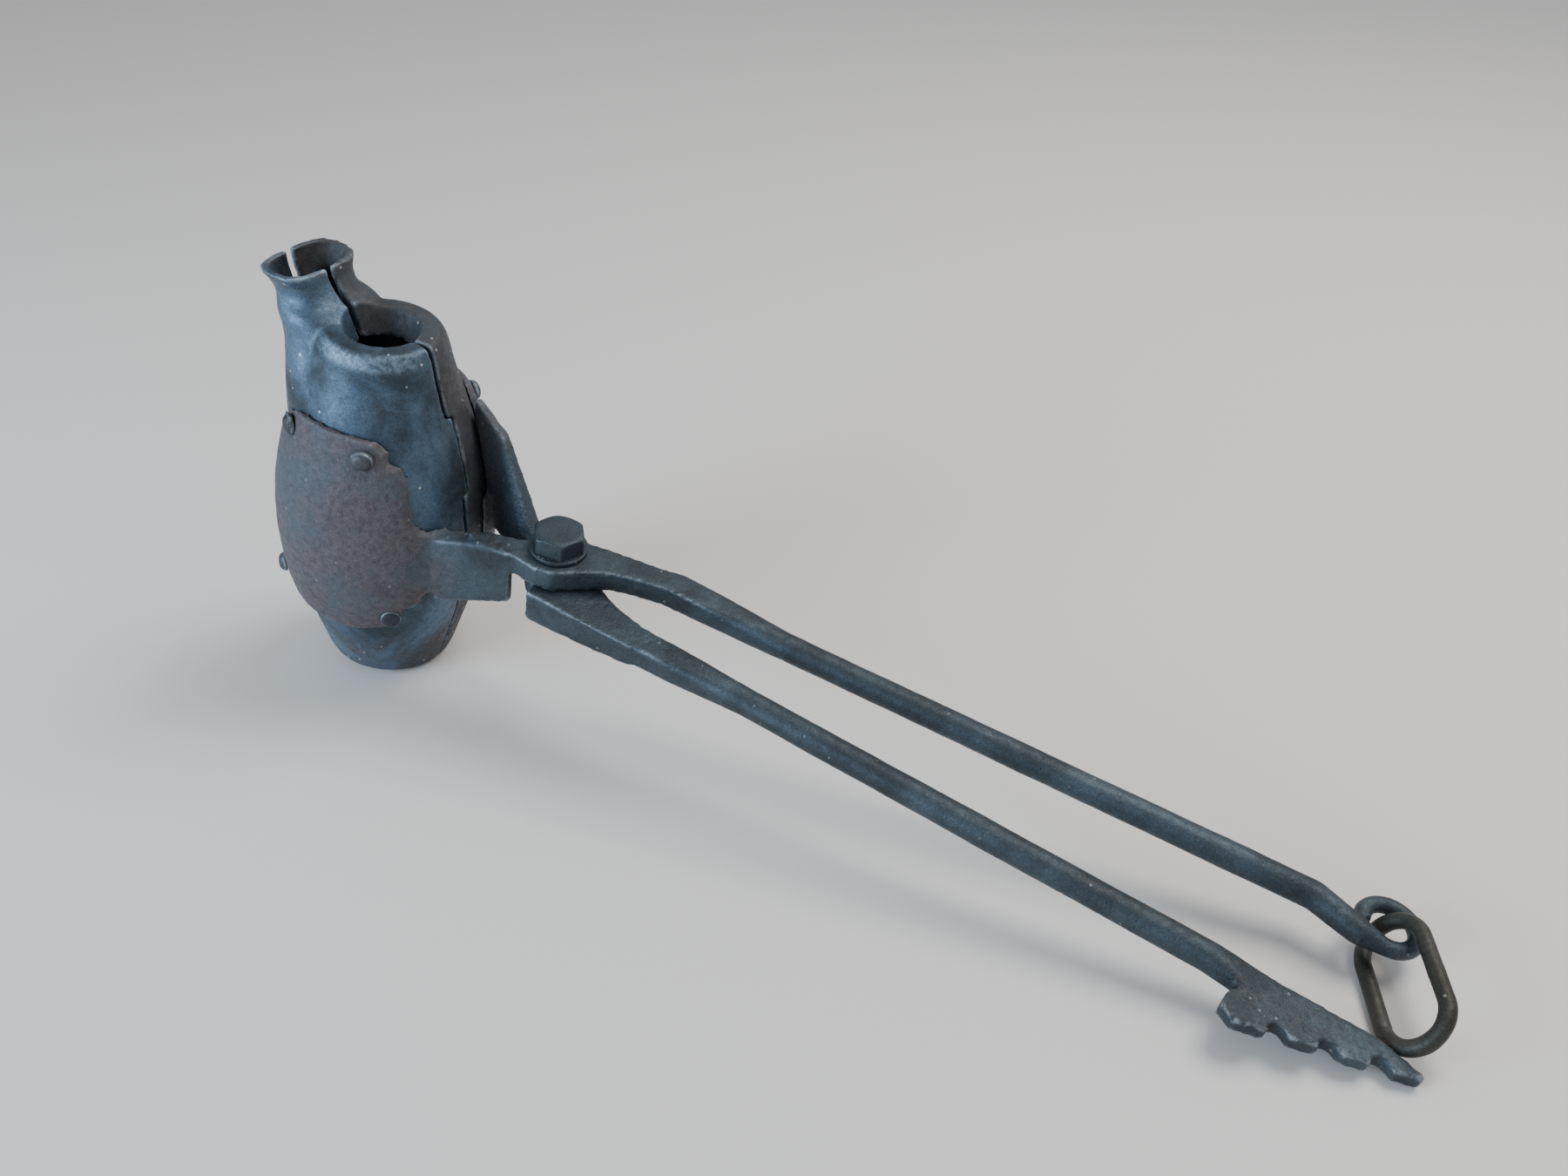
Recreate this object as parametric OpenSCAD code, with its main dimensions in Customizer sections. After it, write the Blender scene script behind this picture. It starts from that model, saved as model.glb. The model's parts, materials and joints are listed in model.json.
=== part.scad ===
// Long-handled tongs with a hollow, jug-shaped body split into two half shells.
// Everything is drawn in the tongs' own frame (pivot at the origin, +X towards the
// handles, +Z along the bolt) and then stood on its foot rim and rack tip.

/* [Stance] */
// Slope of the handles when the tool stands on a table, degrees
tilt = 10.86; // [5:0.5:14]
// Angle left between the two halves at the closed stop, degrees
rest_gap = 1.1; // [0.6:0.1:2]

/* [Body] */
// Distance from the bolt to the body's axis
body_off = 110.4; // [104:1:135]
// Scale of the body's radius, 1 is the drawn profile
girth = 1; // [0.8:0.05:1.05]
// Wall of the shells
wall = 5.5; // [3.5:0.5:8]
// Radius of the funnel in the shoulder, at its lower end
hole_r = 12.5; // [9:0.5:17]
// Radius of the funnel at its rim
rim_r = 18.8; // [17.5:0.1:21]
// Depth of the funnel, the thickness of the shoulder
hole_depth = 14; // [8:1:18]
// Height of the shoulder's flat land above the bolt's mid plane
shoulder_z = 95.7; // [90.7:1:109.7]
// Depth of the foot rim below the bolt's mid plane
foot_z = 110; // [95:1:130]
// Height of the neck above the shoulder
neck_h = 18.6; // [12:1:30]
// Wall of the neck
neck_wall = 4; // [2.5:0.5:6]
// How far the locating tab reaches over the parting line
tab_reach = 4.5; // [2:0.5:8]

/* [Jaw plates] */
// Thickness of the forged plates
plate_t = 4.6; // [3:0.2:8]
// Diameter of the rivets' shanks
rivet_d = 6; // [4:0.5:9]
// Diameter of the rivets' heads
rivet_head_d = 11; // [8:0.5:15]

/* [Pivot] */
// Diameter of the bolt
bolt_d = 16; // [12:1:20]
// Hexagon of the bolt head and nut, across the flats
hex_af = 24; // [21:1:30]
// Outer diameter of the washers
washer_d = 30; // [26:1:36]
// Thickness of each lap
lap_t = 13; // [9:1:18]
// Running clearance of the bolt in the laps, on the radius
bolt_clearance = 0.06; // [0.02:0.01:0.1]

/* [Handles] */
// Diameter of the round handle rods
rod_d = 14.5; // [11:0.5:18]
// Distance from the bolt to the middle of the eye
handle_len = 426; // [340:1:520]
// Spread of each rod from the tongs' mid line, degrees
spread = 1.92; // [1:0.1:4]
// Thickness of the notched rack
rack_t = 8; // [6:0.5:11]
// Depth of the rack's notches
notch_depth = 5; // [3:0.5:6]
// Length of the rack
rack_len = 84; // [70:1:100]

/* [Eye and link] */
// Radius of the hole in the eye
eye_hole_r = 8; // [7:0.5:11]
// Diameter of the bar round the eye
eye_bar_d = 8.6; // [6:0.2:11]
// Diameter of the link's wire
link_wire_d = 7.6; // [5:0.2:8]
// Outer length of the link
link_len = 70; // [64:1:90]
// Outer width of the link
link_width = 37.6; // [34:0.5:44]
// Lean of the link where it lies over the eye, degrees
link_lean = 50; // [40:1:55]

/* [Hidden] */

steel = "#474b50";
rust = "#5a4440";
brown = "#4f463f";
worn = "#5d646b";
round_fn = 64;
hull_fn = 32;
eps = 0.01;
gap = 0.3;

// Body: outer profile as [height, radius], foot rim to shoulder edge.
foot_rim_r = 33.5 * girth;
land_r = 27 * girth;
outer_profile = [
    [-foot_z, foot_rim_r], [6 - foot_z, 36.2 * girth], [-86, 41.4 * girth], [-74, 44.8 * girth],
    [-62, 47.8 * girth], [-47, 50.8 * girth], [-33, 52.4 * girth], [-20, 53.2 * girth], [-6, 53 * girth],
    [8, 51.8 * girth], [20, 49.8 * girth], [32, 47.2 * girth], [45, 43.8 * girth], [58, 40 * girth],
    [69, 36.6 * girth], [78, 34.2 * girth], [shoulder_z - 10, 32.4 * girth],
    [shoulder_z - 5.5, 31.2 * girth], [shoulder_z - 1.6, 29.2 * girth], [shoulder_z, land_r]];
ceiling_z = shoulder_z - hole_depth;
inner_profile = [for (p = outer_profile) if (p[0] < ceiling_z - 2 && p[1] > wall + hole_r)
    [max(p[0], -foot_z - eps), p[1] - wall]];
last_inner = inner_profile[len(inner_profile) - 1];

// Neck: [height above the shoulder land, distance of its centre from the body axis, half width
// along X, half width along Y, extra wall towards the funnel].  It leans out over the far side.
neck_slices = [
    [-64, 2, 45, 45, 0], [-50, 8, 42, 42, 0], [-36, 14, 38, 37, 0], [-24, 20, 32.5, 32.5, 2],
    [-16, 25.5, 28, 28.5, 14], [-9, 30, 24.5, 26, 13.5], [-2, 33, 22.5, 25.5, 13.5],
    [0.08 * neck_h, 35.5, 20.5, 23.5, 10], [0.22 * neck_h, 39.5, 17.5, 20.5, 3.5],
    [0.4 * neck_h, 42.2, 16.3, 19.5, 1], [0.67 * neck_h, 44.8, 15, 21, 0],
    [0.88 * neck_h, 46, 14.8, 23.8, 0], [neck_h, 46.2, 14.4, 24.6, 0]];
slice_t = 0.4;
ring_n = 28;
slice_over = 0.15;
tab_low = 15;
tab_high = 58;
tab_x = 30;

// Jaw plate outline as [distance from the body axis along X, height].
plate_top = [[-44, 34], [-37, 46], [-30, 52.5], [-20, 56], [-4.5, 57.6], [13, 57.4], [24, 56], [29.5, 51.4],
             [30.5, 45.4], [35, 43], [38.4, 36], [41.4, 23], [43, 11.5], [46.5, 6], [53, 4]];
plate_bottom = [[53, -32], [50, -33], [46, -37], [44.6, -43], [39, -45], [38, -53], [31, -58.5], [19, -61.6],
                [0, -62.6], [-19, -61.6], [-31, -58.5], [-39.5, -52], [-43, -40], [-46, -20], [-46.5, 8]];
plate_hug = 14;
arm_root_x = -body_off + 51.6 * girth;
arm_out = 26.6 * girth;
arm_in = 15.6;
boss_clear_r = 22.4;
heel_x = -2;

// Rivets as [distance from the body axis along X, height].
rivet_places = [[-21.5, 47.3], [20, 47.6], [-33, -48], [33, -50]];
rivet_hole_r = rivet_d / 2 + 0.05;
rivet_head_h = 0.36 * rivet_head_d;
head_sink = 0.6;
seat_gap = 0.05;

// Pivot stack.
washer_t = 2.2;
head_h = 10;
nut_h = 13;
bolt_r = bolt_d / 2;
bore_r = bolt_r + bolt_clearance;
lap_gap = 0.3;
boss_r = washer_d / 2 + 1.5;
stack_top = lap_t + washer_t;
stack_low = -lap_t - gap - washer_t;

// Handles.
rod_r = rod_d / 2;
rod_z = 4;
rod_y0 = 14.9;
root_x = 60;
rod_x = 122;
root_half = 8;
eye_x = handle_len;
eye_bar_r = eye_bar_d / 2;
eye_mid_r = eye_hole_r + eye_bar_r;
eye_y = 31;
eye_start_y = eye_y - eye_mid_r;
eye_sweep = 292;
kink_x = eye_x - 34;
rack_x = handle_len + 27 - rack_len;
rack_tip_x = rack_x + rack_len;
notch_pitch = rack_len / 4.05;

// Standing on the table: the foot rim and the rack tip touch it.
pivot_h = foot_z * cos(tilt) - sin(tilt) * (body_off - foot_rim_r);
rack_low = (sin(tilt) * rack_tip_x - pivot_h) / cos(tilt);
rack_mid = rack_low + rack_t / 2;

// Link: lies on the table with one leg under the eye and the other over it.
link_r = link_wire_d / 2;
link_half = link_width / 2 - link_r;
link_straight = link_len - link_width;
link_yaw = -68;
eye_stand = [cos(tilt) * eye_x + sin(tilt) * rod_z, eye_y, pivot_h - sin(tilt) * eye_x + cos(tilt) * rod_z];
link_end = [eye_stand[0] - 2, eye_stand[1] + 2.5, link_r + link_half * sin(link_lean)];

// The origin is under the middle of the standing tool.
belly_back = -cos(tilt) * (body_off + 50.8 * girth) - sin(tilt) * 47;
link_front = link_end[0] + cos(link_yaw) * (link_half + link_straight)
    + link_half * cos(link_lean) * sin(-link_yaw) + link_r;
middle_x = (belly_back + link_front) / 2;

function rod_y(x) = rod_y0 + (x * tan(spread));

// Stands a shape of the tongs' frame on the table.
module stand() translate([-middle_x, 0, pivot_h]) rotate([0, tilt, 0]) children();

// Keeps the part of a shape on one side of the parting plane; side is -1 front, 1 back.
module half_space(side, reach = 400)
    rotate([0, 0, -side * rest_gap / 2]) translate([-reach, side > 0 ? 0 : -reach, -reach])
        cube([reach, reach, 2 * reach]);

// The revolved body between the axis and a profile.
module revolved(profile, fn = round_fn)
    rotate_extrude($fn = fn) polygon(concat([[0, profile[0][0]]], [for (p = profile) [p[1], p[0]]],
        [[0, profile[len(profile) - 1][0]]]));

function signed_power(v, p) = sign(v) * pow(abs(v), p);

// One ring of the neck: an oval whose corners grow squarer towards the lip.
function neck_ring(s, inset, lift) =
    let (extra = inset > 0 ? s[4] / 2 : 0,
         power = lookup(s[0], [[-16, 1], [neck_h, 0.62]]),
         half_x = (s[2] - inset - extra) * girth,
         half_y = (s[3] - inset) * girth)
    [for (i = [0 : ring_n - 1]) let (a = (i + 0.5) * 360 / ring_n) [
        half_x * signed_power(cos(a), power) - (s[1] + extra) * girth,
        half_y * signed_power(sin(a), power),
        shoulder_z + s[0] + lift]];

// A neck skin: rings joined one to the next, inset by a wall, with its last ring lifted.
module neck(inset, over = 0, last = len(neck_slices) - 1) {
    rings = [for (k = [0 : last]) neck_ring(neck_slices[k], inset, k == last ? over : 0)];
    polyhedron(
        points = [for (r = rings) each r],
        faces = concat(
            [[for (i = [0 : ring_n - 1]) i]],
            [for (k = [0 : last - 1], i = [0 : ring_n - 1]) let (j = (i + 1) % ring_n, a = k * ring_n)
                [a + i, a + ring_n + j, a + j]],
            [for (k = [0 : last - 1], i = [0 : ring_n - 1]) let (j = (i + 1) % ring_n, a = k * ring_n)
                [a + i, a + ring_n + i, a + ring_n + j]],
            [[for (i = [ring_n - 1 : -1 : 0]) last * ring_n + i]]));
}

// The whole hollow body, before it is split.
module body_form() translate([-body_off, 0, 0]) difference() {
    union() {
        revolved(outer_profile);
        neck(0);
    }
    revolved(concat([[-foot_z - 1, foot_rim_r - wall]], inner_profile, [[ceiling_z, last_inner[1] - 2]]));
    neck(neck_wall, 1);
    revolved([[ceiling_z - 4, hole_r], [ceiling_z + 0.5, hole_r], [shoulder_z, rim_r],
        [shoulder_z + 1.5 * neck_h, rim_r + 0.2 * neck_h]]);
}

// The locating tab's space on the handle side of the parting line.
module tab_space(clear)
    translate([-body_off + tab_x, -20, tab_low - clear])
        cube([60, 20 + tab_reach + clear, tab_high - tab_low + 2 * clear]);

// Places something on the shell at a rivet, pointing outwards along -Y before the turn.
module at_rivet(place, side) {
    r = lookup(place[1], outer_profile);
    turn = asin(place[0] / r);
    translate([-body_off, 0, place[1]]) rotate([0, 0, side * -turn + (side > 0 ? 180 : 0)])
        translate([0, -r, 0]) rotate([90, 0, 0]) children();
}

module rivet_holes(side) for (p = rivet_places) at_rivet(p, side) {
    translate([0, 0, -2 * wall]) cylinder(r = rivet_hole_r, h = 4 * wall, $fn = hull_fn);
    translate([0, 0, plate_t - head_sink - 0.05]) cylinder(r = rivet_head_d / 2 + 0.05, h = 20, $fn = hull_fn);
}

module half_shell(side) difference() {
    union() {
        intersection() {
            body_form();
            half_space(side);
        }
        if (side < 0) intersection() {
            body_form();
            tab_space(0);
        }
    }
    if (side > 0) tab_space(gap);
    rivet_holes(side);
}

// The curved plate riveted to a shell, and the web (the children) that joins it to its lap:
// the outline cut from a skin over the body, cleared of the shell and the foot of its neck.
module jaw_plate(side) difference() {
    union() {
        intersection() {
            translate([-body_off, 0, 0])
                revolved([for (p = outer_profile) if (p[0] > -80 && p[0] < 75) [p[0], p[1] + plate_t]]);
            translate([-body_off, side > 0 ? plate_hug + 80 : -plate_hug, 0]) rotate([90, 0, 0])
                linear_extrude(80) scale([girth, 1]) polygon(concat(plate_top, plate_bottom));
        }
        children();
    }
    translate([-body_off, 0, 0]) {
        revolved([for (p = outer_profile) if (p[0] > -90 && p[0] < 82) [p[0], p[1] + seat_gap]]);
        neck(-seat_gap, 0, 2);
    }
    rivet_holes(side);
    // Room for the other arm's boss and heel as they turn.
    translate([0, 0, side < 0 ? -60 - lap_gap / 2 : lap_gap / 2])
        cylinder(r = boss_clear_r, h = 60, $fn = round_fn);
}

// A flat station of a web: from x, y and z towards larger x, y and z.
module station(from, to) translate(from) cube(to - from);

// The front web runs straight from the plate's lower half to the lap and hangs below it.
module front_web() hull() {
    station([arm_root_x, -arm_out, -36.5], [arm_root_x + 3, -arm_in, 4]);
    station([-31, -20, -20], [-15.5, -9.5, lap_t]);
}

// The back web leaves the shell at the plate's upper corner, stands off it and drops to the lap.
module back_web() {
    hull() {
        station([-body_off + 36, 25, 30], [-body_off + 39, 30, 56]);
        station([-57, 21.5, -17], [-52, 27.5, 44]);
    }
    hull() {
        station([-57, 21.5, -17], [-52, 27.5, 44]);
        station([-46, 17, -19], [-43, 24, 20]);
        station([-31, 9.5, -lap_t], [-22, 19, 1]);
    }
}

// The back arm's root hangs down beside the nut on its near side.
module heel() hull() {
    station([heel_x, -25, -19], [12, -17, -lap_gap / 2]);
    station([52, -25.6, -14], [62, -10, -lap_gap / 2]);
}

// Plan of a lap and the root of its handle.
module lap_plan() {
    polygon([[-43, -19.2], [-33, -18.4], [-17, -18.8], [0, -20.4], [8.2, -18.2], [14, -13.5], [20.4, -7.6],
        [26, -3], [32.3, 0.8], [42, 4.6], [root_x, rod_y(root_x) - root_half],
        [root_x, rod_y(root_x) + root_half], [49.8, 21.6], [36, 19.6], [22, 17], [6.5, 13.5], [-6, 5],
        [-12.9, -1.3], [-20, -6], [-32, -9.9], [-39.4, -14.6]]);
    circle(r = boss_r, $fn = round_fn);
}

// A disc across a handle, as a slice for a hull, just proud of the rod that runs into it.
module rod_slice(x, y, z, r) translate([x, y, z]) rotate([0, 90, 0])
    cylinder(r = r + slice_over, h = slice_t, $fn = hull_fn);

// Straight rod along the far side of the mid line.
module rod(x1, x2) translate([x1, rod_y(x1), rod_z]) rotate([0, 0, spread]) rotate([0, 90, 0])
    cylinder(r = rod_r, h = (x2 - x1) / cos(spread), $fn = round_fn);

// Lap, root and rod of one handle, drawn above the mid plane and to the far side.
module handle_half(rod_end) {
    difference() {
        translate([0, 0, lap_gap / 2]) linear_extrude(lap_t - lap_gap / 2) lap_plan();
        translate([0, 0, -1]) cylinder(r = bore_r, h = lap_t + 2, $fn = round_fn);
    }
    hull() {
        translate([root_x - 1, rod_y(root_x) - root_half, lap_gap / 2])
            cube([1, 2 * root_half, lap_t - lap_gap / 2]);
        rod_slice(rod_x, rod_y(rod_x), rod_z, rod_r);
    }
    rod(rod_x - 1, rod_end);
}

// The eye: the rod tapers, bends in and curls back until its tip meets the rod.
module eye() {
    hull() {
        rod_slice(kink_x, rod_y(kink_x), rod_z, rod_r);
        rod_slice(eye_x - 13, eye_start_y + 1.8, rod_z, eye_bar_r + 2.2);
    }
    hull() {
        rod_slice(eye_x - 13, eye_start_y + 1.8, rod_z, eye_bar_r + 2.2);
        rod_slice(eye_x - 1, eye_start_y, rod_z, eye_bar_r);
    }
    translate([eye_x, eye_y, rod_z]) rotate([0, 0, -92]) rotate_extrude(angle = eye_sweep, $fn = round_fn)
        translate([eye_mid_r, 0]) circle(r = eye_bar_r, $fn = hull_fn);
}

// Plan of the notched rack, with its teeth on the outer side.
module rack_plan() difference() {
    polygon([[rack_x + 6, -34], [rack_x + 1, -41.5], [rack_x, -50], [rack_x + 7.5, -55],
        [rack_x + 20, -51.5], [rack_tip_x - 1, -35.8], [rack_tip_x, -32.8], [rack_x + 64, -25.4],
        [rack_x + 33, -23.8], [rack_x + 8, -22.4]]);
    for (i = [0 : 2]) notch(rack_x + 21 + i * notch_pitch, -51.4 + i * notch_pitch * 0.25);
}

module notch(x, y) translate([x, y]) rotate(14) polygon([[-0.5, -4], [0.8, notch_depth - 1.2],
    [2.6, notch_depth - 0.2], [6, notch_depth - 0.6], [10, -0.4], [11, -4]]);

// Swaps the two sides of the tongs: half a turn about the handles' mid line.
module other_side() rotate([180, 0, 0]) children();

module hexagon(af, h) cylinder(r = af / 2 / cos(30), h = h, $fn = 6);

module front_shell() color(steel) stand() half_shell(-1);

module back_shell() color(steel) stand() half_shell(1);

module front_jaw_arm() color(rust) stand() {
    jaw_plate(-1) front_web();
    handle_half(kink_x + 0.5);
    eye();
}

module back_jaw_arm() color(rust) stand() {
    jaw_plate(1) back_web();
    heel();
    other_side() handle_half(rack_x - 8);
    hull() {
        rod_slice(rack_x - 9, -rod_y(rack_x - 9), -rod_z, rod_r);
        translate([rack_x + 12, -36.5, rack_low]) cube([2, 13.5, rack_t]);
    }
    translate([0, 0, rack_low]) linear_extrude(rack_t) rack_plan();
}

module pivot_bolt() color(worn) stand() {
    translate([0, 0, stack_low - nut_h - 2])
        cylinder(r = bolt_r, h = stack_top - stack_low + nut_h + 3, $fn = round_fn);
    translate([0, 0, stack_top]) intersection() {
        hexagon(hex_af, head_h);
        cylinder(r1 = hex_af, r2 = hex_af / 2 - 0.6, h = head_h, $fn = round_fn);
    }
}

module washer(z) translate([0, 0, z]) difference() {
    cylinder(r = washer_d / 2, h = washer_t, $fn = round_fn);
    translate([0, 0, -1]) cylinder(r = bolt_r + 0.5, h = washer_t + 2, $fn = round_fn);
}

module bolt_washer() color(steel) stand() washer(lap_t);

module nut_washer() color(steel) stand() washer(stack_low);

module pivot_nut() color(worn) stand() translate([0, 0, stack_low - nut_h]) difference() {
    hexagon(hex_af, nut_h);
    translate([0, 0, -1]) cylinder(r = bolt_r + 0.02, h = nut_h + 2, $fn = round_fn);
}

// One end of the link: half a ring in the XZ plane of the link's own frame.
module link_bend() rotate([90, 0, 0]) rotate_extrude(angle = 180, $fn = round_fn)
    translate([link_half, 0]) circle(r = link_r, $fn = hull_fn);

// Link with its length along X and its end bar at the origin, leaning about X.
module locking_link() color(brown) translate([link_end[0] - middle_x, link_end[1], link_end[2]])
    rotate([0, 0, link_yaw]) rotate([link_lean - 90, 0, 0]) translate([link_half, 0, 0]) {
        for (side = [-1, 1]) translate([0, 0, side * link_half]) rotate([0, 90, 0])
            cylinder(r = link_r, h = link_straight, $fn = round_fn);
        rotate([0, -90, 0]) link_bend();
        translate([link_straight, 0, 0]) rotate([0, 90, 0]) link_bend();
    }

// Rivet: shank through plate and shell, a domed head outside and a flat one inside.
module rivet(i, side) color(rust) stand() at_rivet(rivet_places[i], side) {
    translate([0, 0, -wall - 1.5]) cylinder(r = rivet_d / 2, h = wall + plate_t + 2.5, $fn = round_fn);
    translate([0, 0, plate_t - head_sink]) intersection() {
        cylinder(r = rivet_head_d / 2, h = rivet_head_h + 1, $fn = round_fn);
        translate([0, 0, rivet_head_h + head_sink - rivet_head_d * 0.56])
            sphere(r = rivet_head_d * 0.56, $fn = round_fn);
    }
}

module front_rivet_1() rivet(0, -1);
module front_rivet_2() rivet(1, -1);
module front_rivet_3() rivet(2, -1);
module front_rivet_4() rivet(3, -1);
module back_rivet_1() rivet(0, 1);
module back_rivet_2() rivet(1, 1);
module back_rivet_3() rivet(2, 1);
module back_rivet_4() rivet(3, 1);

front_shell();
back_shell();
front_jaw_arm();
back_jaw_arm();
pivot_bolt();
bolt_washer();
nut_washer();
pivot_nut();
locking_link();
front_rivet_1();
front_rivet_2();
front_rivet_3();
front_rivet_4();
back_rivet_1();
back_rivet_2();
back_rivet_3();
back_rivet_4();
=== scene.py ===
"""Looks of a pair of long-handled forged tongs that carry a hollow, jug-shaped body in two half shells.

The four large forgings (two half shells, two jaw arms) follow the frame's solids: their skins are evened
out, their edges rounded by averaging, their creases filled and their faces dented as a hammer leaves them.
The small pieces (bolt, nut, washers, rivets, link) are surfaces of two parameters, worked out on grids.
"""

import json
import math

import bmesh
import bpy
import numpy as np
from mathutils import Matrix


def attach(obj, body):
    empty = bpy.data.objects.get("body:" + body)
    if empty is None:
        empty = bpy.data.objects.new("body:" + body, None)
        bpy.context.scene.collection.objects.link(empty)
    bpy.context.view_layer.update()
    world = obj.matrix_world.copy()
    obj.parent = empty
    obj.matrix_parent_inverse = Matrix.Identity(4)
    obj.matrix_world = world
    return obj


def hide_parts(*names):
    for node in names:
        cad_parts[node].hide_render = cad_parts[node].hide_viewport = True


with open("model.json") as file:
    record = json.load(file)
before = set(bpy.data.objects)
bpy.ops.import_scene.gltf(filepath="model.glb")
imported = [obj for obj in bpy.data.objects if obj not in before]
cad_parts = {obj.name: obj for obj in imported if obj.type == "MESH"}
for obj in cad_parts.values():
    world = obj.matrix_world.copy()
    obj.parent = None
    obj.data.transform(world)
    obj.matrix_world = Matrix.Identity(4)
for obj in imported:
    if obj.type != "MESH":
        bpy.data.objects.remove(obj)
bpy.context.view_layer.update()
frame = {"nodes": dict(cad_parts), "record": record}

MM = 0.001
SAME_PLACE = 1e-6
JOINTS = {joint["name"]: joint for joint in frame["record"]["behaviour"]["joints"]}
PIVOT = np.array(JOINTS["jaw_pivot"]["pos_m"])
BOLT_UP = -np.array(JOINTS["jaw_pivot"]["axis"])
ALONG = np.array([BOLT_UP[2], 0.0, -BOLT_UP[0]])
ACROSS = np.array([0.0, 1.0, 0.0])
TONGS = np.stack([ALONG, ACROSS, BOLT_UP])
BODY_OFFSET = 110.4 * MM

# ---------------------------------------------------------------- grids and meshes


def grid_quads(rows, columns, wrap_rows=False, wrap_columns=True):
    """Quads of a grid of points, row by row; a wrapped direction joins its last line to its first."""
    r = np.arange(rows if wrap_rows else rows - 1)
    c = np.arange(columns if wrap_columns else columns - 1)
    i, j = (a.ravel() for a in np.meshgrid(r, c, indexing="ij"))
    i2, j2 = (i + 1) % rows, (j + 1) % columns
    return np.stack([i * columns + j, i * columns + j2, i2 * columns + j2, i2 * columns + j], 1)


def new_piece(name, points, faces):
    """A smooth-shaded mesh object at the origin, with its place in its points. Points that coincide
    are joined, which closes seams and poles, and a closed skin is turned to face outwards."""
    mesh = bpy.data.meshes.new(name)
    mesh.from_pydata(points.tolist(), [], faces.tolist())
    form = bmesh.new()
    form.from_mesh(mesh)
    bmesh.ops.remove_doubles(form, verts=form.verts, dist=SAME_PLACE)
    if form.calc_volume(signed=True) < 0:
        bmesh.ops.reverse_faces(form, faces=form.faces)
    form.to_mesh(mesh)
    form.free()
    mesh.polygons.foreach_set("use_smooth", np.ones(len(mesh.polygons), bool))
    mesh.update()
    piece = bpy.data.objects.new(name, mesh)
    bpy.context.scene.collection.objects.link(piece)
    return piece


def points_of(mesh):
    co = np.empty(len(mesh.vertices) * 3)
    mesh.vertices.foreach_get("co", co)
    return co.reshape(-1, 3)


def normals_of(mesh):
    no = np.empty(len(mesh.vertices) * 3)
    mesh.vertex_normals.foreach_get("vector", no)
    return no.reshape(-1, 3)


def averaged(mesh, values, rounds, share=0.5):
    """Moves each value part of the way to the mean of its neighbours along the edges, some rounds."""
    ends = np.empty(len(mesh.edges) * 2, np.int32)
    mesh.edges.foreach_get("vertices", ends)
    a, b = ends.reshape(-1, 2).T
    near = np.bincount(np.r_[a, b], minlength=len(mesh.vertices))
    near = np.maximum(near, 1)[:, None]
    for _ in range(rounds):
        total = np.zeros_like(values)
        for k in range(values.shape[1]):
            total[:, k] = np.bincount(
                np.r_[a, b], np.r_[values[b, k], values[a, k]], len(mesh.vertices)
            )
        values = values + share * (total / near - values)
    return values


# ---------------------------------------------------------------- noise for dents and pits

HASH_SIZE = 4096


def lumps(points, size, seed):
    """Smooth value noise from -1 to 1: random numbers on a cubic lattice of the given size in metres,
    blended inside each cell with the curve t*t*(3 - 2t)."""
    table = np.random.default_rng(seed).uniform(-1, 1, HASH_SIZE)
    cell = np.floor(points / size).astype(np.int64)
    t = points / size - cell
    t = t * t * (3 - 2 * t)
    total = np.zeros(len(points))
    for corner in np.ndindex(2, 2, 2):
        at = cell + corner
        key = (at[:, 0] * 73856093) ^ (at[:, 1] * 19349663) ^ (at[:, 2] * 83492791)
        weight = np.prod(np.where(np.array(corner) == 1, t, 1 - t), axis=1)
        total += weight * table[key % HASH_SIZE]
    return total


def smoothstep(low, high, value):
    t = np.clip((value - low) / (high - low), 0, 1)
    return t * t * (3 - 2 * t)


# ---------------------------------------------------------------- the forged skins

VOXEL = 1.15 * MM
SHELL_ROUNDS, SHELL_DENT, SHELL_PIT = 5, 0.25 * MM, 0.12 * MM
ARM_ROUNDS, ARM_DENT, ARM_PIT = 5, 0.35 * MM, 0.3 * MM
FILL_MOST = 4 * MM
FILL_ROUNDS = 110
FILL_SOFTENING = 12
HOLLOW_NONE = 0.1 * MM
HOLLOW_FULL = 0.6 * MM
EDGE_FULL = 0.58 * MM
EDGE_NONE = 0.24 * MM


def store(mesh, name, values):
    attribute = mesh.attributes.new(name, "FLOAT", "POINT")
    attribute.data.foreach_set("value", values.astype(np.float32))


def mark_wear_and_painted_light(piece, rust_zone=None, rounds=10, scale=1.0, painted_highlight=0.0):
    """Stores how far each point stands proud of its smoothed surroundings (edge, for bright worn edges) or
    lies below them (hollow, for painted shade in hollows), and how much of the plates' red rust it has
    (rust_zone). The painted highlight band passed in adds to the edge."""
    mesh = piece.data
    points = points_of(mesh)
    proud = ((points - averaged(mesh, points, rounds)) * normals_of(mesh)).sum(1) / scale
    store(mesh, "edge", np.maximum(smoothstep(EDGE_NONE, EDGE_FULL, proud), painted_highlight))
    store(mesh, "hollow", smoothstep(HOLLOW_NONE, HOLLOW_FULL, -proud))
    zone = np.zeros(len(points)) if rust_zone is None else rust_zone
    store(mesh, "rust_zone", zone)


def in_tongs(points):
    """Points in the tongs' own axes: along the handles, across the parting plane, up the bolt."""
    return (points - PIVOT) @ TONGS.T


def filled(mesh, points, where):
    """Fills the creases between forged parts: a point that lies below the broad mean of its
    surroundings is raised towards it, as far as where (0 to 1) allows."""
    lift = ((averaged(mesh, points, FILL_ROUNDS) - points) * normals_of(mesh)).sum(1)
    lift = np.clip(lift, 0, FILL_MOST) * where
    lift = averaged(mesh, lift[:, None], FILL_SOFTENING)
    return points + normals_of(mesh) * lift


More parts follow.
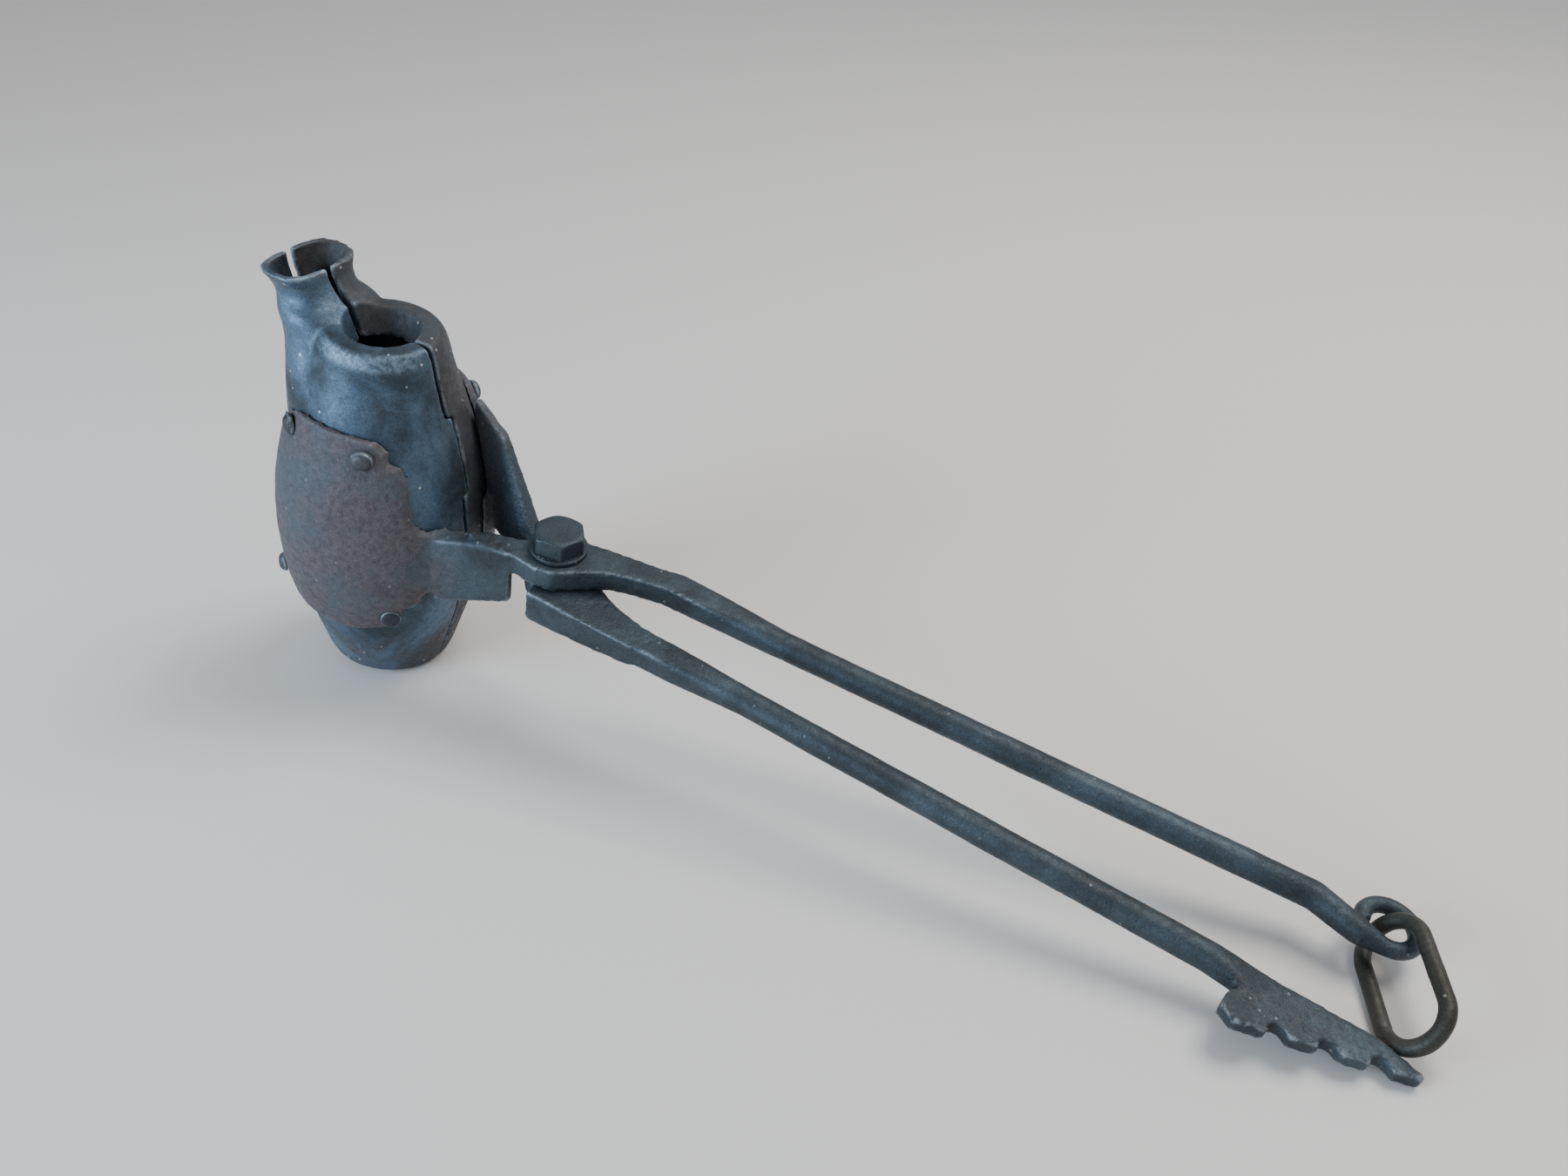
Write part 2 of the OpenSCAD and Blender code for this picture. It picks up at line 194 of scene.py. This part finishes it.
# Stretches over which a mask rises from 0 to 1, in the tongs' axes; heights are from the bolt's middle.
ABOVE_PLATE = (56 * MM, 66 * MM)
BELOW_LIP = (100 * MM, 108 * MM)
OFF_PARTING = (7 * MM, 13 * MM)
OFF_FUNNEL = (26 * MM, 30 * MM)
WEB_ROOT = (-92 * MM, -80 * MM)
WEB_END = (-42 * MM, -32 * MM)


def neck_crease(mesh, points):
    """Where a shell is filled: outside, above its plate, away from the parting line and the funnel."""
    local = in_tongs(points) + [BODY_OFFSET, 0, 0]
    outwards = (normals_of(mesh) @ TONGS.T)[:, :2] * local[:, :2]
    away = np.linalg.norm(local[:, :2], axis=1)
    high = smoothstep(*ABOVE_PLATE, local[:, 2])
    low = 1 - smoothstep(*BELOW_LIP, local[:, 2])
    beside = smoothstep(*OFF_PARTING, np.abs(local[:, 1]))
    return high * low * beside * (outwards.sum(1) > 0) * smoothstep(*OFF_FUNNEL, away)


def web_crease(mesh, points):
    """Where an arm is filled: round the root of its web, clear of the lap."""
    along = in_tongs(points)[:, 0]
    return smoothstep(*WEB_ROOT, along) * (1 - smoothstep(*WEB_END, along))


def forged_skin(node, name, rounds, dent, pit, seed, crease):
    """The node's surface as one even skin: merged, remeshed on a fine lattice, rounded by averaging,
    filled in its creases, then pushed inwards by broad hammer dents and small pits."""
    piece = bpy.data.objects.new(name, frame["nodes"][node].data.copy())
    bpy.context.scene.collection.objects.link(piece)
    weld = piece.modifiers.new("weld", "WELD")
    weld.merge_threshold = 0.002 * MM
    remesh = piece.modifiers.new("remesh", "REMESH")
    remesh.mode = "VOXEL"
    remesh.voxel_size = VOXEL
    depsgraph = bpy.context.evaluated_depsgraph_get()
    mesh = bpy.data.meshes.new_from_object(piece.evaluated_get(depsgraph))
    piece.modifiers.clear()
    piece.data = mesh
    mesh.name = name
    mesh.materials.clear()
    points = averaged(mesh, points_of(mesh), rounds)
    mesh.vertices.foreach_set("co", points.ravel())
    mesh.update()
    points = filled(mesh, points, crease(mesh, points))
    mesh.vertices.foreach_set("co", points.ravel())
    mesh.update()
    depth = dent * (1 + lumps(points, 15 * MM, seed)) / 2
    depth += 0.45 * dent * (1 + lumps(points, 6 * MM, seed + 1)) / 2
    pitted = smoothstep(0.1, 0.6, lumps(points, 26 * MM, seed + 2))
    depth += pit * (0.3 + pitted) * smoothstep(0.35, 0.8, lumps(points, 2.4 * MM, seed + 3))
    points = points - normals_of(mesh) * depth[:, None]
    mesh.vertices.foreach_set("co", points.ravel())
    mesh.polygons.foreach_set("use_smooth", np.ones(len(mesh.polygons), bool))
    mesh.update()
    return piece


# ---------------------------------------------------------------- small pieces


def frame_about(direction):
    """Two unit vectors at right angles to a direction and to each other."""
    side = np.cross(direction, [0.3, 0.2, 0.93])
    side /= np.linalg.norm(side)
    return side, np.cross(direction, side)


def turned(name, profile, origin, direction, sides=64, outline=None):
    """A profile of (radius, height) pairs carried round a direction. outline gives the largest radius
    at an angle, which cuts a hexagon from the turned form."""
    side, other = frame_about(direction)
    angle = np.linspace(0, 2 * math.pi, sides, endpoint=False)
    radius, height = profile[:, :1], profile[:, 1:]
    radius = np.repeat(radius, sides, 1)
    if outline is not None:
        radius = np.minimum(radius, outline(angle)[None, :])
    ring = np.cos(angle)[:, None] * side + np.sin(angle)[:, None] * other
    points = origin + radius[..., None] * ring[None] + height[..., None] * direction
    return new_piece(name, points.reshape(-1, 3), grid_quads(len(profile), sides))


def rounded_profile(corners, radius, steps=5):
    """A profile through corner points, each inner corner replaced by a quadratic curve of that size."""
    corners = np.array(corners, float)
    rows = [corners[:1]]
    t = np.linspace(0, 1, steps)[:, None]
    for before, corner, after in zip(corners[:-2], corners[1:-1], corners[2:]):
        into, out = before - corner, after - corner
        a = corner + into * min(0.45, radius / np.linalg.norm(into))
        b = corner + out * min(0.45, radius / np.linalg.norm(out))
        rows.append((1 - t) ** 2 * a + 2 * t * (1 - t) * corner + t * t * b)
    rows.append(corners[-1:])
    return np.concatenate(rows)


def refined(profile, step):
    """Extra points along a profile, so that no stretch is longer than step."""
    rows = []
    for a, b in zip(profile[:-1], profile[1:]):
        count = max(1, math.ceil(np.linalg.norm(b - a) / step))
        rows.append(a + (b - a) * np.linspace(0, 1, count, endpoint=False)[:, None])
    return np.concatenate([*rows, profile[-1:]])


def reach(node, direction):
    """Lowest and highest place of a frame node along a direction from the pivot."""
    along = (points_of(frame["nodes"][node].data) - PIVOT) @ direction
    return along.min(), along.max()


def radii(node):
    """Smallest and largest distance of a frame node's points from the bolt's axis."""
    beside = in_tongs(points_of(frame["nodes"][node].data))[:, :2]
    away = np.linalg.norm(beside, axis=1)
    return away.min(), away.max()


def hexagon(across_flats, turn):
    """The radius of a hexagon's outline at an angle, its corners a little rounded."""

    def outline(angle):
        beside = (angle + turn) % (math.pi / 3) - math.pi / 6
        return np.minimum(across_flats / 2 / np.cos(beside), across_flats * 0.563)

    return outline


def make_bolt():
    """Bolt head with a chamfered top, and its shank, which ends plain below the nut."""
    low, high = reach("pivot_bolt", BOLT_UP)
    seat = reach("bolt_washer", BOLT_UP)[1]
    corner = radii("pivot_bolt")[1]
    shank_r = radii("pivot_nut")[0] - 0.02 * MM
    profile = rounded_profile(
        [(0, seat), (corner, seat), (corner, high - 1.9 * MM), (corner * 0.8, high - 0.3 * MM),
         (corner * 0.43, high - 0.1 * MM), (0, high - 0.2 * MM)],
        0.9 * MM,
    )
    flats = 2 * corner * math.cos(math.pi / 6)
    head = turned("bolt_head", refined(profile, 1.0 * MM), PIVOT, BOLT_UP, 96, hexagon(flats, 0.35))
    shank = rounded_profile(
        [(0, low), (shank_r - 0.8 * MM, low), (shank_r, low + 1.2 * MM), (shank_r, seat), (0, seat)],
        0.4 * MM,
    )
    return head, turned("bolt_shank", refined(shank, 2 * MM), PIVOT, BOLT_UP, 48)


def make_nut():
    """Hexagon nut, chamfered below, round the bolt's end."""
    low, high = reach("pivot_nut", BOLT_UP)
    bore, corner = radii("pivot_nut")
    profile = rounded_profile(
        [(bore, low + 0.8 * MM), (bore + MM, low), (corner * 0.82, low), (corner, low + 1.8 * MM),
         (corner, high), (bore, high), (bore, low + 0.8 * MM)],
        0.8 * MM,
    )
    flats = 2 * corner * math.cos(math.pi / 6)
    return turned("pivot_nut_form", refined(profile, 1.0 * MM), PIVOT, BOLT_UP, 96, hexagon(flats, 0.1))


def make_washer(node):
    """A washer with rounded rims."""
    low, high = reach(node, BOLT_UP)
    bore, rim = radii(node)
    profile = rounded_profile([(bore, low), (rim, low), (rim, high), (bore, high), (bore, low)], 0.7 * MM)
    return turned(node + "_form", refined(profile, 0.9 * MM), PIVOT, BOLT_UP, 72)


RIVET_SIDES = 48
DOME_RINGS = 15


def make_rivet(node, proud, seed):
    """A hammered dome on a plain shank: the dome's height falls from the middle as the square root of
    one minus r to the power 2.4, its rim is slightly out of round, and its top is dented."""
    points = points_of(frame["nodes"][node].data)
    local = in_tongs(points)
    centre = local.mean(0)
    axis_point = np.array([-BODY_OFFSET, 0, centre[2]])
    outwards = np.array([centre[0] + BODY_OFFSET, centre[1], 0])
    outwards /= np.linalg.norm(outwards)
    out = (local - axis_point) @ outwards
    along, top = outwards @ TONGS, out.max()
    beside = np.linalg.norm(local - axis_point - out[:, None] * outwards, axis=1)
    head_r = beside.max()
    tall = top - out[beside > 0.99 * head_r].min()
    base = PIVOT + axis_point @ TONGS + along * (top - tall)
    side, other = frame_about(along)
    share = np.linspace(0, 1, DOME_RINGS)[:, None]
    angle = np.linspace(0, 2 * math.pi, RIVET_SIDES, endpoint=False)[None]
    rng = np.random.default_rng(seed)
    lobes = 1 + 0.035 * np.cos(2 * angle + rng.uniform(0, 6)) + 0.02 * np.cos(3 * angle + rng.uniform(0, 6))
    radius = head_r * share * lobes
    height = tall * proud * np.sqrt(np.maximum(1 - share**2.4, 0)) + 0 * angle
    dent = lumps(np.stack([radius * np.cos(angle), radius * np.sin(angle), height], -1).reshape(-1, 3),
                 3 * MM, seed)
    height = height - 0.22 * MM * (1 + dent.reshape(height.shape)) * (1 - share**2)
    height[0] = height[0].mean()
    shank_r = beside[out < out.min() + 0.1 * MM].max()
    foot = out.min() - (top - tall) + 0.1 * MM
    level = np.ones((1, RIVET_SIDES))
    height = np.concatenate([height, level * 0, level * 0, level * foot, level * foot])
    radius = np.concatenate([radius, radius[-1:], level * shank_r, level * shank_r, level * 0])
    rim = np.cos(angle)[..., None] * side + np.sin(angle)[..., None] * other
    shape = base + radius[..., None] * rim + height[..., None] * along
    return new_piece(node + "_form", shape.reshape(-1, 3), grid_quads(len(height), RIVET_SIDES))


LINK_STEPS = 300
WIRE_SIDES = 28


def make_link():
    """Round wire carried along a stadium: two straight legs and two half circles. The wire's radius
    wavers a little, as hand-bent wire does."""
    points = points_of(frame["nodes"]["locking_link"].data)
    centre = points.mean(0)
    _, _, axes = np.linalg.svd(points - centre, full_matrices=False)
    flat = (points - centre) @ axes.T
    middle = (flat.min(0) + flat.max(0)) / 2
    half_length, half_width, wire = (flat.max(0) - flat.min(0)) / 2
    bend = half_width - wire
    straight = half_length - half_width
    total = 4 * straight + 2 * math.pi * bend
    s = np.linspace(0, total, LINK_STEPS, endpoint=False)
    first, second, third = 2 * straight, 2 * straight + math.pi * bend, 4 * straight + math.pi * bend
    turn = np.where(s < first, 0, np.where(s < second, (s - first) / bend, math.pi))
    turn = np.where(s > third, math.pi + (s - third) / bend, turn)
    x = np.where(s < first, s - straight, straight + bend * np.sin(np.minimum(turn, math.pi)))
    x = np.where((s >= second) & (s < third), straight - (s - second), x)
    x = np.where(s >= third, -straight - bend * np.sin(turn - math.pi), x)
    y = np.where(s < first, -bend, -bend * np.cos(turn))
    y = np.where((s >= second) & (s < third), bend, y)
    y = np.where(s >= third, -bend * np.cos(turn), y)
    tangent = np.stack([np.cos(turn), np.sin(turn), 0 * s], 1)
    inward = np.stack([-tangent[:, 1], tangent[:, 0], 0 * s], 1)
    path = np.stack([x, y, 0 * s], 1) + middle
    around = np.linspace(0, 2 * math.pi, WIRE_SIDES, endpoint=False)
    waver = 0.97 + 0.022 * lumps(np.repeat(s[:, None], 3, 1), 9 * MM, 5)
    ring = np.cos(around)[None, :, None] * inward[:, None] + np.sin(around)[None, :, None] * [0, 0, 1]
    tube = path[:, None] + wire * waver[:, None, None] * ring
    shape = tube.reshape(-1, 3) @ axes + centre
    return new_piece("locking_link_form", shape, grid_quads(len(s), WIRE_SIDES, wrap_rows=True))


# ---------------------------------------------------------------- shader groups


def socket(group, name, kind, value=None, output=False):
    made = group.interface.new_socket(
        name=name, in_out="OUTPUT" if output else "INPUT", socket_type="NodeSocket" + kind
    )
    if value is not None:
        made.default_value = value
    return made


def noise(nodes, links, coordinates, scale, detail=5, roughness=0.6, distortion=0.0):
    texture = nodes.new("ShaderNodeTexNoise")
    texture.inputs["Scale"].default_value = scale
    texture.inputs["Detail"].default_value = detail
    texture.inputs["Roughness"].default_value = roughness
    texture.inputs["Distortion"].default_value = distortion
    links.new(coordinates, texture.inputs["Vector"])
    return texture.outputs["Fac"]


def ranged(nodes, links, value, low, high, out_low=0.0, out_high=1.0):
    step = nodes.new("ShaderNodeMapRange")
    step.interpolation_type = "SMOOTHSTEP"
    for name, number in (("From Min", low), ("From Max", high), ("To Min", out_low), ("To Max", out_high)):
        step.inputs[name].default_value = number
    links.new(value, step.inputs["Value"])
    return step.outputs["Result"]


def math_node(nodes, links, operation, a, b):
    node = nodes.new("ShaderNodeMath")
    node.operation = operation
    for socket_in, value in zip(node.inputs, (a, b)):
        if isinstance(value, (int, float)):
            socket_in.default_value = value
        else:
            links.new(value, socket_in)
    return node.outputs[0]


def blend_colour(nodes, links, factor, a, b, mode="MIX"):
    node = nodes.new("ShaderNodeMix")
    node.data_type = "RGBA"
    node.blend_type = mode
    for name, value in (("Factor", factor), ("A", a), ("B", b)):
        place = [s for s in node.inputs if s.name == name and s.enabled][0]
        if isinstance(value, (int, float, tuple)):
            place.default_value = value
        else:
            links.new(value, place)
    return [s for s in node.outputs if s.enabled][0]


def iron_skin_group():
    """Weathered iron: two tones of scale in broad clouds, red-brown rust in ragged patches, bright
    metal on worn edges (on the front shell also a painted highlight band), painted shade darkening the
    hollows, pale flecks, and a height for dents, grain and pits."""
    group = bpy.data.node_groups.new("iron_skin", "ShaderNodeTree")
    for name, value in (("Scale", (0.05, 0.06, 0.07, 1)), ("Deep scale", (0.02, 0.023, 0.026, 1)),
                        ("Rust", (0.09, 0.045, 0.03, 1)), ("Bright", (0.2, 0.21, 0.22, 1))):
        socket(group, name, "Color", value)
    socket(group, "Rust amount", "Float", 0.3)
    socket(group, "Wear and highlight amount", "Float", 1.0)
    socket(group, "Flecks", "Float", 1.0)
    socket(group, "Color", "Color", output=True)
    for name in ("Roughness", "Metallic", "Height"):
        socket(group, name, "Float", output=True)
    nodes, links = group.nodes, group.links
    inputs, outputs = nodes.new("NodeGroupInput"), nodes.new("NodeGroupOutput")
    place = nodes.new("ShaderNodeTexCoord").outputs["Object"]

    def marked(name):
        attribute = nodes.new("ShaderNodeAttribute")
        attribute.attribute_name = name
        return attribute.outputs["Fac"]

    clouds = noise(nodes, links, place, 24, 7, 0.62, 0.4)
    patches = noise(nodes, links, place, 38, 10, 0.72, 0.8)
    grain = noise(nodes, links, place, 1300, 3, 0.6)
    smear = noise(nodes, links, place, 300, 7, 0.7)
    colour = blend_colour(nodes, links, ranged(nodes, links, clouds, 0.36, 0.66),
                          inputs.outputs["Deep scale"], inputs.outputs["Scale"])
    colour = blend_colour(nodes, links, ranged(nodes, links, smear, 0.5, 0.78, 0, 0.55),
                          colour, inputs.outputs["Deep scale"])
    zone = math_node(nodes, links, "MULTIPLY", marked("rust_zone"), 0.46)
    threshold = math_node(nodes, links, "ADD", math_node(nodes, links, "ADD", patches, zone),
                          math_node(nodes, links, "MULTIPLY", inputs.outputs["Rust amount"], 0.3))
    rust = ranged(nodes, links, threshold, 0.58, 1.05)
    dull_rust = blend_colour(nodes, links, 1.0, inputs.outputs["Rust"], (0.66, 0.60, 0.66, 1), "MULTIPLY")
    rust_tone = blend_colour(nodes, links, ranged(nodes, links, smear, 0.35, 0.7),
                             inputs.outputs["Rust"], dull_rust)
    rust_tone = blend_colour(nodes, links, ranged(nodes, links, clouds, 0.42, 0.66, 0, 0.8),
                             rust_tone, inputs.outputs["Scale"])
    colour = blend_colour(nodes, links, math_node(nodes, links, "MULTIPLY", rust, 0.9), colour, rust_tone)
    # Painted shade: the hollows are darkened towards near-black.
    hollow = math_node(nodes, links, "MULTIPLY", marked("hollow"), 0.6)
    colour = blend_colour(nodes, links, hollow, colour, (0.012, 0.011, 0.010, 1))
    # Bright worn edges; on the front shell the edge mark also carries a painted highlight band.
    rubbed_and_highlight = math_node(nodes, links, "MULTIPLY", marked("edge"), ranged(nodes, links, smear, 0.32, 0.62))
    rubbed_and_highlight = math_node(nodes, links, "MULTIPLY", rubbed_and_highlight, inputs.outputs["Wear and highlight amount"])
    colour = blend_colour(nodes, links, rubbed_and_highlight, colour, inputs.outputs["Bright"])
    tint = ranged(nodes, links, grain, 0.3, 0.7, 0.78, 1.2)
    colour = blend_colour(nodes, links, 1.0, colour, tint, "MULTIPLY")

    cells = nodes.new("ShaderNodeTexVoronoi")
    cells.inputs["Scale"].default_value = 430
    links.new(place, cells.inputs["Vector"])
    dots = nodes.new("ShaderNodeSeparateColor")
    links.new(cells.outputs["Color"], dots.inputs["Color"])
    rare = ranged(nodes, links, dots.outputs["Red"], 0.988, 0.990)
    near = ranged(nodes, links, cells.outputs["Distance"], 0.36, 0.26)
    fleck = math_node(nodes, links, "MULTIPLY", rare, near)
    fleck = math_node(nodes, links, "MULTIPLY", fleck, inputs.outputs["Flecks"])
    colour = blend_colour(nodes, links, fleck, colour, (0.55, 0.55, 0.52, 1))
    links.new(colour, outputs.inputs["Color"])

    rough = ranged(nodes, links, smear, 0.3, 0.75, 0.4, 0.62)
    rough = math_node(nodes, links, "ADD", rough, math_node(nodes, links, "MULTIPLY", rust, 0.16))
    rough = math_node(nodes, links, "SUBTRACT", rough, math_node(nodes, links, "MULTIPLY", rubbed_and_highlight, 0.16))
    links.new(rough, outputs.inputs["Roughness"])
    metal = math_node(nodes, links, "SUBTRACT", 0.6, math_node(nodes, links, "MULTIPLY", rust, 0.4))
    links.new(metal, outputs.inputs["Metallic"])

    holes = nodes.new("ShaderNodeTexVoronoi")
    holes.inputs["Scale"].default_value = 420
    links.new(place, holes.inputs["Vector"])
    cups = ranged(nodes, links, holes.outputs["Distance"], 0.0, 0.34, 1, 0)
    pits = math_node(nodes, links, "MULTIPLY", cups, ranged(nodes, links, patches, 0.45, 0.65))
    height = math_node(nodes, links, "ADD", math_node(nodes, links, "MULTIPLY", smear, 0.9),
                       math_node(nodes, links, "MULTIPLY", grain, 0.35))
    height = math_node(nodes, links, "SUBTRACT", height, math_node(nodes, links, "MULTIPLY", pits, 0.5))
    links.new(height, outputs.inputs["Height"])
    return group


IRON_SKIN = iron_skin_group()


def iron(name, scale, deep, rust, bright, rust_amount, wear_and_highlight, flecks, bump):
    """One weathered iron, from the shared skin group with its own tones."""
    material = bpy.data.materials.new(name)
    material.use_nodes = True
    nodes, links = material.node_tree.nodes, material.node_tree.links
    shader = nodes["Principled BSDF"]
    shader.inputs["Specular IOR Level"].default_value = 0.45
    skin = nodes.new("ShaderNodeGroup")
    skin.node_tree = IRON_SKIN
    for key, value in (("Scale", scale), ("Deep scale", deep), ("Rust", rust), ("Bright", bright)):
        skin.inputs[key].default_value = (*value, 1)
    for key, value in (("Rust amount", rust_amount), ("Wear and highlight amount", wear_and_highlight), ("Flecks", flecks)):
        skin.inputs[key].default_value = value
    relief = nodes.new("ShaderNodeBump")
    relief.inputs["Strength"].default_value = bump
    relief.inputs["Distance"].default_value = 0.6 * MM
    links.new(skin.outputs["Height"], relief.inputs["Height"])
    links.new(skin.outputs["Color"], shader.inputs["Base Color"])
    links.new(skin.outputs["Roughness"], shader.inputs["Roughness"])
    links.new(skin.outputs["Metallic"], shader.inputs["Metallic"])
    links.new(relief.outputs["Normal"], shader.inputs["Normal"])
    return material


# The front shell's blue scale and bright tones, bluer and lighter than the back shell's copy of the same
# iron, are partly its own colour and partly a painted reflection of the bluish window light.
SHELL_IRON_AND_SHEEN = iron("shell_iron", (0.086, 0.140, 0.205), (0.028, 0.042, 0.052), (0.082, 0.078, 0.080),
                  (0.30, 0.42, 0.52), 0.25, 1.0, 0.8, 0.55)
BACK_IRON = iron("back_shell_iron", (0.052, 0.066, 0.076), (0.022, 0.027, 0.030), (0.052, 0.048, 0.050),
                 (0.22, 0.28, 0.33), 0.25, 0.9, 0.5, 0.5)
ARM_IRON = iron("arm_iron", (0.056, 0.080, 0.096), (0.030, 0.038, 0.044), (0.104, 0.090, 0.100),
                (0.26, 0.30, 0.33), 0.2, 1.0, 0.22, 0.8)
BOLT_STEEL = iron("bolt_steel", (0.050, 0.068, 0.078), (0.024, 0.032, 0.036), (0.06, 0.045, 0.04),
                  (0.22, 0.27, 0.31), 0.2, 0.9, 0.4, 0.4)
LINK_IRON = iron("link_iron", (0.070, 0.070, 0.060), (0.034, 0.033, 0.028), (0.085, 0.065, 0.048),
                 (0.16, 0.165, 0.16), 0.4, 0.4, 0.3, 0.55)
RIVET_IRON = iron("rivet_iron", (0.080, 0.090, 0.105), (0.036, 0.040, 0.046), (0.10, 0.08, 0.085),
                  (0.24, 0.30, 0.35), 0.3, 1.0, 0.6, 0.5)


# ---------------------------------------------------------------- the object


def place(piece, material, body, slot, *nodes):
    """Gives a piece its finish and its body, and hides the frame nodes that it stands for. The slot argument
    is not used.
    """
    piece.data.materials.append(material)
    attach(piece, body)
    if nodes:
        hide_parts(*nodes)


BACK_BROWN = 0.75
FOOT_BROWN = 0.7
ABOVE_FOOT = (-96 * MM, -58 * MM)
UP_LIP = (108 * MM, 116 * MM)
INSIDE_LIP = (-22 * MM, -14 * MM)
LAND_EDGE = (26 * MM, 29 * MM)
CHAMFER_EDGE = (31 * MM, 34 * MM)
CHAMFER_FOOT = (86 * MM, 90 * MM)
OVER_LAND = (97 * MM, 99 * MM)
TO_FRONT = (2 * MM, 18 * MM)
CLEAR_OF_NECK = (-24 * MM, -8 * MM)
HIGHLIGHT_MOST = 0.5


def shell_zone(points, side):
    """The back shell is browner all over; the front one only at its foot and inside its lip."""
    local = in_tongs(points)
    if side == "back":
        return np.full(len(points), BACK_BROWN)
    foot = 1 - smoothstep(*ABOVE_FOOT, local[:, 2])
    lip = smoothstep(*UP_LIP, local[:, 2]) * smoothstep(*INSIDE_LIP, local[:, 1])
    return np.maximum(FOOT_BROWN * foot, lip)


def shoulder_highlight(points):
    """A painted highlight on the front shell's shoulder: a bright band along its outer chamfer, most at the
    front.
    """
    local = in_tongs(points) + [BODY_OFFSET, 0, 0]
    away = np.linalg.norm(local[:, :2], axis=1)
    band = smoothstep(*LAND_EDGE, away) * (1 - smoothstep(*CHAMFER_EDGE, away))
    band = band * smoothstep(*CHAMFER_FOOT, local[:, 2])
    band = band * (1 - smoothstep(*OVER_LAND, local[:, 2]))
    band = band * smoothstep(*TO_FRONT, -local[:, 1])
    return HIGHLIGHT_MOST * band * smoothstep(*CLEAR_OF_NECK, local[:, 0])


PLATE_RUST_END = -66 * MM
WEB_RUST_END = -34 * MM
RIVETS_PROUD = (0.95, 1.0, 0.95, 0.55)


def plate_zone(points):
    """One on the jaw plates, falling to nothing along the web towards the lap."""
    along = in_tongs(points)[:, 0]
    return 1 - smoothstep(PLATE_RUST_END, WEB_RUST_END, along)


for seed, side in ((11, "front"), (23, "back")):
    shell = forged_skin(side + "_shell", side + "_shell_skin", SHELL_ROUNDS, SHELL_DENT, SHELL_PIT,
                         seed, neck_crease)
    # Painted highlight: a bright band on the front shell's shoulder chamfer, added to the edge mark.
    painted_highlight = shoulder_highlight(points_of(shell.data))
    mark_wear_and_painted_light(shell, shell_zone(points_of(shell.data), side), painted_highlight=painted_highlight)
    place(shell, SHELL_IRON_AND_SHEEN if side == "front" else BACK_IRON, side + "_half", "shell_iron", side + "_shell")
    arm = forged_skin(side + "_jaw_arm", side + "_jaw_arm_skin", ARM_ROUNDS, ARM_DENT, ARM_PIT,
                      seed + 5, web_crease)
    mark_wear_and_painted_light(arm, plate_zone(points_of(arm.data)))
    place(arm, ARM_IRON, side + "_half", "forged_arm", side + "_jaw_arm")
    for number, proud in enumerate(RIVETS_PROUD, 1):
        node = f"{side}_rivet_{number}"
        rivet = make_rivet(node, proud, seed * 7 + number)
        mark_wear_and_painted_light(rivet, rounds=6)
        place(rivet, RIVET_IRON, side + "_half", "rivet_iron", node)

head, shank = make_bolt()
nut = make_nut()
for piece in (head, shank):
    mark_wear_and_painted_light(piece, rounds=8)
    place(piece, BOLT_STEEL, "front_half", "bolt_steel", "pivot_bolt")
mark_wear_and_painted_light(nut, rounds=8)
place(nut, BOLT_STEEL, "front_half", "bolt_steel", "pivot_nut")
for node in ("bolt_washer", "nut_washer"):
    washer = make_washer(node)
    mark_wear_and_painted_light(washer, rounds=8)
    place(washer, BOLT_STEEL, "front_half", "washer_steel", node)

link = make_link()
mark_wear_and_painted_light(link, rounds=6, scale=2.0)
place(link, LINK_IRON, "link", "link_iron", "locking_link")

# ---------------------------------------------------------------- floor, light and camera

CAMERA_FROM_PIVOT = np.array([0.3641, -0.4356, 0.3843])
CAMERA_PITCH = math.radians(35.56)
CAMERA_TURN = math.radians(28.04)
LENS = 30.18
FLOOR_HALF = 5.0


def make_floor():
    corners = np.array([[-1, -1, 0], [1, -1, 0], [1, 1, 0], [-1, 1, 0]]) * FLOOR_HALF
    floor = new_piece("floor", corners, np.array([[0, 1, 2, 3]]))
    material = bpy.data.materials.new("floor_paint")
    material.use_nodes = True
    shader = material.node_tree.nodes["Principled BSDF"]
    shader.inputs["Base Color"].default_value = (0.70, 0.67, 0.63, 1)
    shader.inputs["Roughness"].default_value = 0.7
    floor.data.materials.append(material)


def add_light(name, place_at, aim, size, power, colour):
    light = bpy.data.lights.new(name, "AREA")
    light.shape = "DISK"
    light.size = size
    light.energy = power
    light.color = colour
    lamp = bpy.data.objects.new(name, light)
    bpy.context.scene.collection.objects.link(lamp)
    lamp.location = place_at
    away = np.array(place_at) - np.array(aim)
    flat = math.hypot(away[0], away[1])
    lamp.rotation_euler = (math.atan2(flat, away[2]), 0, math.atan2(away[0], -away[1]))


def make_camera():
    data = bpy.data.cameras.new("camera")
    data.sensor_width = 36
    data.lens = LENS
    camera = bpy.data.objects.new("camera", data)
    camera.location = PIVOT + CAMERA_FROM_PIVOT
    camera.rotation_euler = (math.pi / 2 - CAMERA_PITCH, 0, CAMERA_TURN)
    bpy.context.scene.collection.objects.link(camera)
    bpy.context.scene.camera = camera


make_floor()
add_light("ceiling_panel", (0.6, 0.75, 1.7), (0, 0, 0.05), 1.1, 30, (1.0, 0.97, 0.93))
add_light("window", (-0.95, -1.3, 0.68), (-0.15, 0, 0.12), 1.0, 30, (0.62, 0.80, 1.0))
world = bpy.data.worlds.new("studio")
world.use_nodes = True
world.node_tree.nodes["Background"].inputs["Color"].default_value = (0.9, 0.93, 1.0, 1)
world.node_tree.nodes["Background"].inputs["Strength"].default_value = 0.55
bpy.context.scene.world = world
make_camera()
